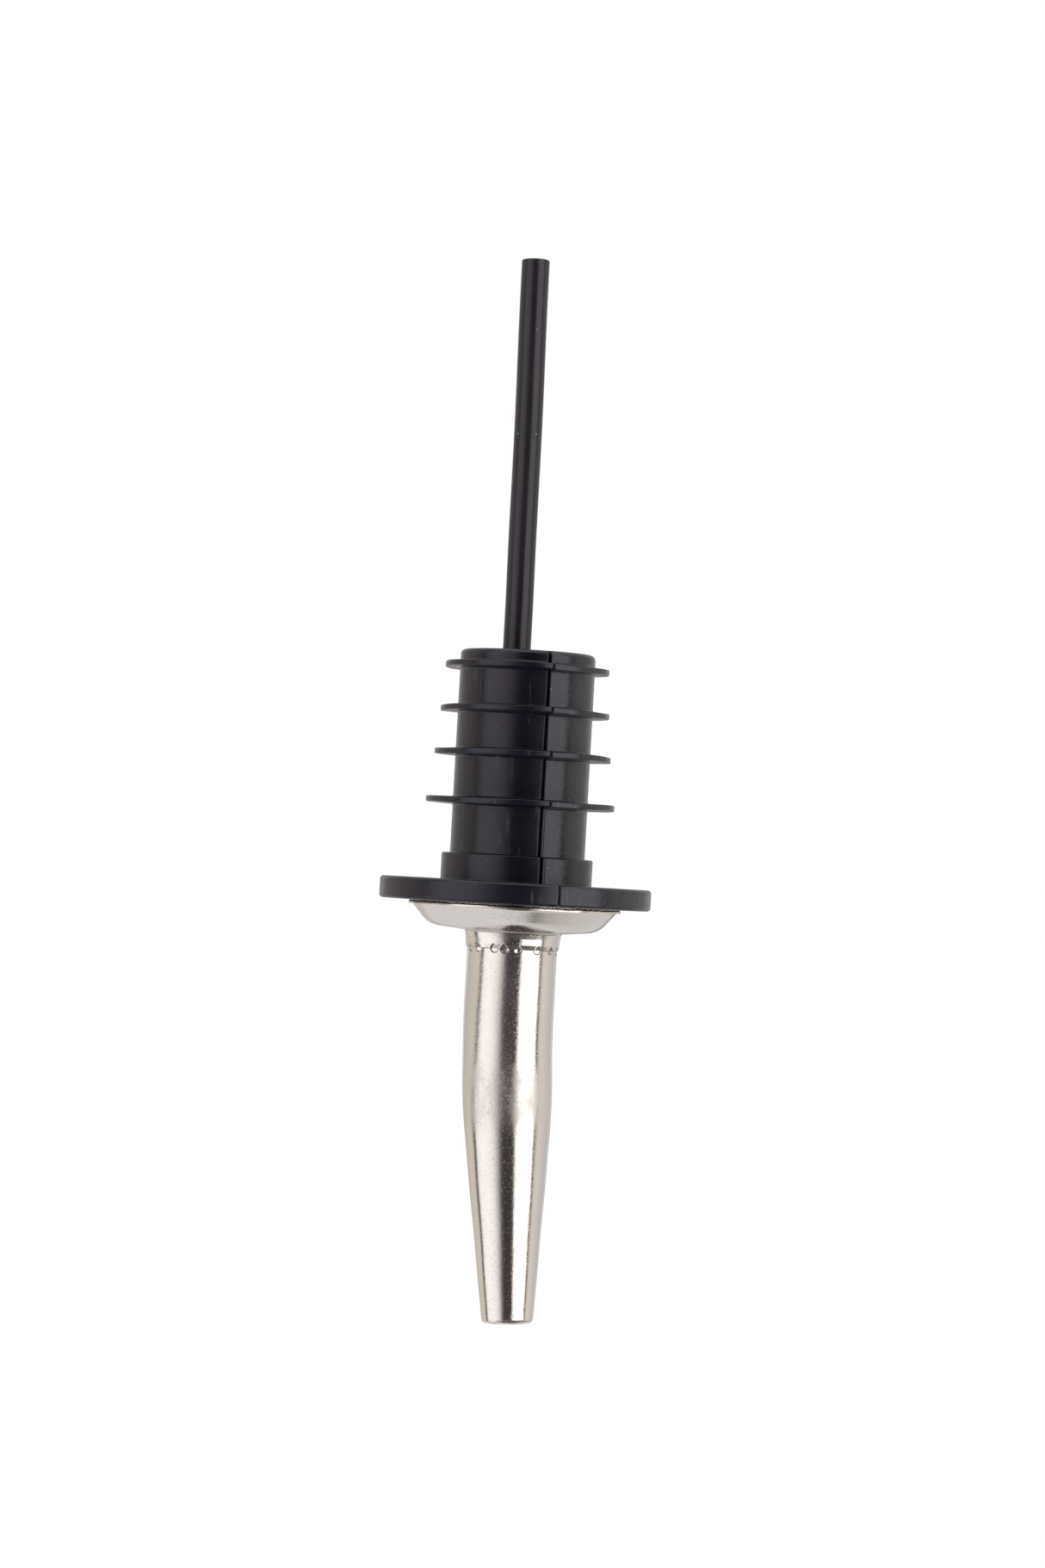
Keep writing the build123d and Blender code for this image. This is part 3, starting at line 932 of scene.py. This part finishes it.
def plastic_material():
    """Extruded polyethylene: faint die lines along the tube, hairline scuffs and a little dust."""
    made, tree, shader = material("extruded_plastic", IOR=1.55, Specular_Tint=(0.95, 0.92, 1.0, 1.0))
    place = object_place(tree)
    die_lines = noise(tree, place, 0.25, detail=3, stretch=(1, 1, 0.015))
    scuffs = noise(tree, place, 0.9, detail=6, roughness=0.75, stretch=(1, 1, 0.35))
    clouds = noise(tree, place, 3.5, detail=2)
    dust = specks(tree, place, 1.9, 0.05)
    scratch = remap(tree, scuffs, 0.62, 0.68, 0, 1)
    skin = blend_colours(tree, clouds, (0.0085, 0.0075, 0.0105), (0.0125, 0.0112, 0.0145))
    skin = blend_colours(tree, times(tree, scratch, 0.25), skin, (0.06, 0.06, 0.062))
    skin = blend_colours(tree, dust, skin, (0.3, 0.29, 0.28))
    tree.links.new(skin, shader.inputs["Base Color"])
    rough = plus(tree, remap(tree, clouds, 0.3, 0.7, 0.20, 0.27), times(tree, scratch, 0.12))
    tree.links.new(rough, shader.inputs["Roughness"])
    under = bumped(tree, shader, die_lines, 0.004)
    bumped(tree, shader, scuffs, 0.003, under)
    return made


def give(piece, made):
    """Makes a material the only one of a piece."""
    piece.data.materials.clear()
    piece.data.materials.append(made)


# ------------------------------------ object
rubber = rubber_material()
plate = plated_material("bright_plate")
cap_plate = plated_material("cap_plate", trimmed_edge=True)
plastic = plastic_material()

for build, cad_node, body, slot, skin in (
    (build_stopper, "stopper", "stopper", "black_rubber", rubber),
    (build_cap, "shield_cap", "spout", "plated_metal", cap_plate),
    (build_spout, "spout_tube", "spout", "plated_metal", plate),
    (build_vent, "vent_tube", "vent", "black_plastic", plastic),
):
    piece = build()
    give(piece, skin)
    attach(piece, body)
    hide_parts(cad_node)

inner_metal = inner_metal_material("drawn_tube_metal", (0.72, 0.70, 0.66), 0.26)
give(frame["nodes"]["air_tube"], inner_metal)
give(frame["nodes"]["air_tube_holder"], inner_metal)
give(frame["nodes"]["air_tube_solder"], inner_metal_material("dull_solder", (0.55, 0.55, 0.56), 0.42))

# ------------------------------------ light
# The room, as seen in the metal: colour by direction around the object, in degrees from the camera's side
# (-Y) towards -X.  Two soft boxes stand left and right of a dark camera position.
ROOM = [
    (-180, (0.36, 0.35, 0.35)),
    (-167, (0.38, 0.37, 0.37)),
    (-161, (0.74, 0.72, 0.71)),
    (-150, (0.74, 0.71, 0.69)),
    (-145, (0.50, 0.47, 0.45)),
    (-112, (0.62, 0.57, 0.51)),
    (-88, (0.68, 0.62, 0.54)),
    (-83, (0.10, 0.09, 0.08)),
    (-78, (0.12, 0.11, 0.10)),
    (-74, (1.02, 0.99, 0.97)),
    (-58, (1.12, 1.08, 1.06)),
    (-44, (1.05, 1.01, 0.99)),
    (-33, (0.86, 0.82, 0.81)),
    (-24, (0.58, 0.54, 0.54)),
    (-14, (0.14, 0.125, 0.13)),
    (-8, (0.05, 0.042, 0.046)),
    (0, (0.045, 0.038, 0.042)),
    (18, (0.055, 0.05, 0.052)),
    (22, (0.30, 0.27, 0.25)),
    (24, (1.50, 1.47, 1.40)),
    (76, (1.55, 1.50, 1.44)),
    (78, (0.10, 0.08, 0.06)),
    (82.5, (0.07, 0.06, 0.05)),
    (86, (0.62, 0.56, 0.50)),
    (95, (0.74, 0.69, 0.63)),
    (125, (0.60, 0.57, 0.55)),
    (146, (0.52, 0.50, 0.50)),
    (150, (0.70, 0.68, 0.67)),
    (159, (0.72, 0.70, 0.69)),
    (166, (0.38, 0.37, 0.37)),
    (180, (0.36, 0.35, 0.35)),
]
# Over the tops of the boxes: the dark camera side still stands in front, and the rest is a pale room
ROOM_OVER = [
    (-180, (0.66, 0.65, 0.65)),
    (-60, (0.72, 0.70, 0.70)),
    (-35, (0.60, 0.58, 0.57)),
    (-20, (0.06, 0.05, 0.05)),
    (30, (0.06, 0.05, 0.05)),
    (60, (0.13, 0.12, 0.115)),
    (85, (0.44, 0.42, 0.40)),
    (120, (0.60, 0.58, 0.55)),
    (180, (0.66, 0.65, 0.65)),
]
# Colours between the boxes' tops and the pale room over them, on the ceiling, and under the object
GAP = (0.10, 0.09, 0.085)
CEILING_LEFT = (0.80, 0.785, 0.785)
CEILING_RIGHT = (0.58, 0.56, 0.555)
BELOW = (0.80, 0.80, 0.82)
# Heights in the room, as sines of the elevation seen from the object
BOX_TOP_LEFT = 0.38
BOX_TOP_RIGHT = 0.29
GAP_TOP = 0.45
CEILING = 0.968
CEILING_EDGE = 0.012
BOX_SOFT = 0.02            # half height over which the boxes' tops fade out
FLARE = 0.21               # the left box is this share wider above the horizon than at it
FLARE_HEIGHTS = (0.02, 0.17)
FLARE_TURNS = (-0.6, -1.3)
# Each box's near edge leans by a few degrees between two heights.  The lean grows over the first pair of
# turns in radians and is gone again by the end of the second
BOX_LEAN = 4.5
RIGHT_LEAN_TURNS = ((0.1, 0.35), (0.6, 1.1))
RIGHT_LEAN_HEIGHTS = (0.01, 0.08)
LEFT_LEAN_TURNS = ((-0.08, -0.3), (-0.55, -1.0))
LEFT_LEAN_HEIGHTS = (0.06, 0.14)
# The gap over the boxes ends this far round from the camera's side
GAP_TURNS = (math.radians(110), math.radians(140))
GAP_FADE = 0.12
GAP_SHARE = 0.85
# Faint band just over the horizon in the dark camera side
GLOW = (0.16, 0.14, 0.15)
GLOW_HEIGHT = 0.095
GLOW_FADE = (0.02, 0.055)
GLOW_TURNS = (math.radians(12), math.radians(22))
BELOW_HEIGHTS = (-0.60, -0.90)    # where the room turns into what is under the object


def by_direction(tree, share, stops):
    """Colour ramp over a full turn, from stops in degrees."""
    ramp = node(tree, "ShaderNodeValToRGB")
    tree.links.new(share, ramp.inputs["Fac"])
    elements = ramp.color_ramp.elements
    elements.remove(elements[-1])
    for number, (degrees, colour) in enumerate(stops):
        stop = elements[0] if number == 0 else elements.new((degrees + 180) / 360)
        stop.position = (degrees + 180) / 360
        stop.color = (*colour, 1)
    return ramp.outputs["Color"]


def between(tree, turn, turns):
    """1 between two edges, which are given as the pairs over which it rises and falls."""
    rise, fall = turns
    return times(tree, remap(tree, turn, *rise, 0, 1), remap(tree, turn, *fall, 1, 0))


def build_world():
    """Soft studio room: pure white to the camera, light boxes and a dark camera side in reflections."""
    world = bpy.data.worlds.new("studio")
    bpy.context.scene.world = world
    world.use_nodes = True
    tree = world.node_tree
    tree.nodes.clear()
    place = node(tree, "ShaderNodeTexCoord").outputs["Generated"]
    split = node(tree, "ShaderNodeSeparateXYZ")
    tree.links.new(place, split.inputs[0])
    x, y, z = split.outputs
    # Angle about Z in radians from the camera's side, as in ROOM
    turn = combine(tree, "ARCTAN2", times(tree, x, -1.0), times(tree, y, -1.0))
    off_front = combine(tree, "ABSOLUTE", turn, 0)
    # Over the horizon the far edge of the left box stands further out
    flare = times(tree, remap(tree, z, *FLARE_HEIGHTS, 0, FLARE), remap(tree, turn, *FLARE_TURNS, 0, 1))
    flare = combine(tree, "SUBTRACT", 1 / TURN, times(tree, flare, 1 / TURN))
    share = plus(tree, times(tree, turn, flare), 0.5)
    # At the horizon the near edge of the right box stands further round
    lean = BOX_LEAN / 360
    right = remap(tree, z, *RIGHT_LEAN_HEIGHTS, lean, 0)
    share = combine(tree, "SUBTRACT", share, times(tree, between(tree, turn, RIGHT_LEAN_TURNS), right))
    # And over it, the near edge of the left box
    left = remap(tree, z, *LEFT_LEAN_HEIGHTS, 0, lean)
    share = plus(tree, share, times(tree, between(tree, turn, LEFT_LEAN_TURNS), left))
    box_top = remap(tree, turn, -0.35, 0.35, BOX_TOP_LEFT, BOX_TOP_RIGHT)
    over_boxes = remap(tree, combine(tree, "SUBTRACT", z, box_top), -BOX_SOFT, BOX_SOFT, 0, 1)
    in_gap = times(tree, remap(tree, off_front, *GAP_TURNS, 1, 0),
                   remap(tree, z, GAP_TOP, GAP_TOP + GAP_FADE, GAP_SHARE, 0))
    over = blend_colours(tree, in_gap, by_direction(tree, share, ROOM_OVER), GAP)
    off_glow = combine(tree, "ABSOLUTE", combine(tree, "SUBTRACT", z, GLOW_HEIGHT), 0)
    glow = times(tree, remap(tree, off_front, *GLOW_TURNS, 1, 0), remap(tree, off_glow, *GLOW_FADE, 1, 0))
    sideways = blend_colours(tree, glow, by_direction(tree, share, ROOM), GLOW)
    room = blend_colours(tree, over_boxes, sideways, over)
    ceiling = blend_colours(tree, remap(tree, x, -0.3, 0.3, 0, 1), CEILING_RIGHT, CEILING_LEFT)
    room = blend_colours(tree, remap(tree, z, CEILING, CEILING + CEILING_EDGE, 0, 1), room, ceiling)
    room = blend_colours(tree, remap(tree, z, *BELOW_HEIGHTS, 0, 1), room, BELOW)
    lit = node(tree, "ShaderNodeBackground")
    tree.links.new(room, lit.inputs["Color"])
    white = node(tree, "ShaderNodeBackground", Color=(1, 1, 1, 1), Strength=1.0)
    seen = node(tree, "ShaderNodeLightPath").outputs["Is Camera Ray"]
    mix = node(tree, "ShaderNodeMixShader")
    tree.links.new(seen, mix.inputs[0])
    tree.links.new(lit.outputs[0], mix.inputs[1])
    tree.links.new(white.outputs[0], mix.inputs[2])
    out = node(tree, "ShaderNodeOutputWorld")
    tree.links.new(mix.outputs[0], out.inputs["Surface"])


def soft_light(name, place, size, energy):
    """Square area light aimed at the object.  It lights the floor and matt skins, and does not show in the
    metal."""
    lamp = bpy.data.lights.new(name, "AREA")
    lamp.size = size
    lamp.energy = energy
    light = add_object(name, lamp)
    light.location = place
    light.rotation_euler = (-Vector(place)).to_track_quat("-Z", "Y").to_euler()
    light.visible_camera = False
    light.visible_glossy = False


# ------------------------------------ floor
FLOOR_Z = -0.17
FLOOR_R = 0.14
FLOOR_SOLID_R = 0.05
FLOOR_RINGS = 24
FLOOR_SIDES = 96


def build_floor():
    """Pale round floor below the vent tube that fades out into the white room."""
    sides = FLOOR_SIDES
    points = [(0.0, 0.0, FLOOR_Z)]
    faces = [(0, 1 + k, 1 + (k + 1) % sides) for k in range(sides)]
    for ring in range(1, FLOOR_RINGS + 1):
        reach = FLOOR_R * ring / FLOOR_RINGS
        turns = [TURN * k / sides for k in range(sides)]
        points += [(reach * math.cos(turn), reach * math.sin(turn), FLOOR_Z) for turn in turns]
    for ring in range(FLOOR_RINGS - 1):
        low, high = 1 + ring * sides, 1 + (ring + 1) * sides
        faces += [(low + k, high + k, high + (k + 1) % sides, low + (k + 1) % sides) for k in range(sides)]
    mesh = bpy.data.meshes.new("floor")
    mesh.from_pydata(points, [], faces)
    floor = add_object("floor", mesh)
    made, tree, shader = material("pale_floor", Roughness=0.6)
    place = object_place(tree)
    clouds = noise(tree, place, 30, detail=3)
    pale = blend_colours(tree, clouds, (0.90, 0.90, 0.90), (0.94, 0.94, 0.94))
    tree.links.new(pale, shader.inputs["Base Color"])
    fade = remap(tree, distance_from_axis(tree, place), FLOOR_SOLID_R, FLOOR_R, 1, 0, "SMOOTHSTEP")
    tree.links.new(fade, shader.inputs["Alpha"])
    give(floor, made)


build_world()
soft_light("soft_light_right", (-0.45, -0.50, 0.45), 0.5, 6.0)
soft_light("soft_light_left", (0.50, -0.35, 0.50), 0.5, 5.0)
build_floor()

# ------------------------------------ camera
# Upside down, as the pourer is shown: the vent tube points up the picture and leans to the right.
LEAN = math.radians(3.17)
DISTANCE = 519.0
LEVEL_Z = -1.26           # the camera looks level at this height of the part
AIM = Vector((-0.15, 0, -12.0))
LENS = 98.0
SENSOR = 36.0


def build_camera():
    """Long lens on the -Y side, level at LEVEL_Z and turned upside down with the pourer."""
    lens = bpy.data.cameras.new("camera")
    lens.lens = LENS
    lens.sensor_width = SENSOR
    lens.clip_start = 0.01
    lens.clip_end = 50
    camera = add_object("camera", lens)
    up = Vector((math.sin(LEAN), 0, -math.cos(LEAN)))
    eye = AIM - up * (LEVEL_Z - AIM.z) / math.cos(LEAN) + Vector((0, -DISTANCE, 0))
    forward = (AIM - eye).normalized()
    right = forward.cross(up).normalized()
    true_up = right.cross(forward)
    turn = Matrix((right, true_up, -forward)).transposed().to_4x4()
    camera.matrix_world = Matrix.Translation(eye * MM) @ turn
    bpy.context.scene.camera = camera


build_camera()
bpy.context.scene.view_settings.view_transform = "Standard"
bpy.context.scene.view_settings.look = "None"
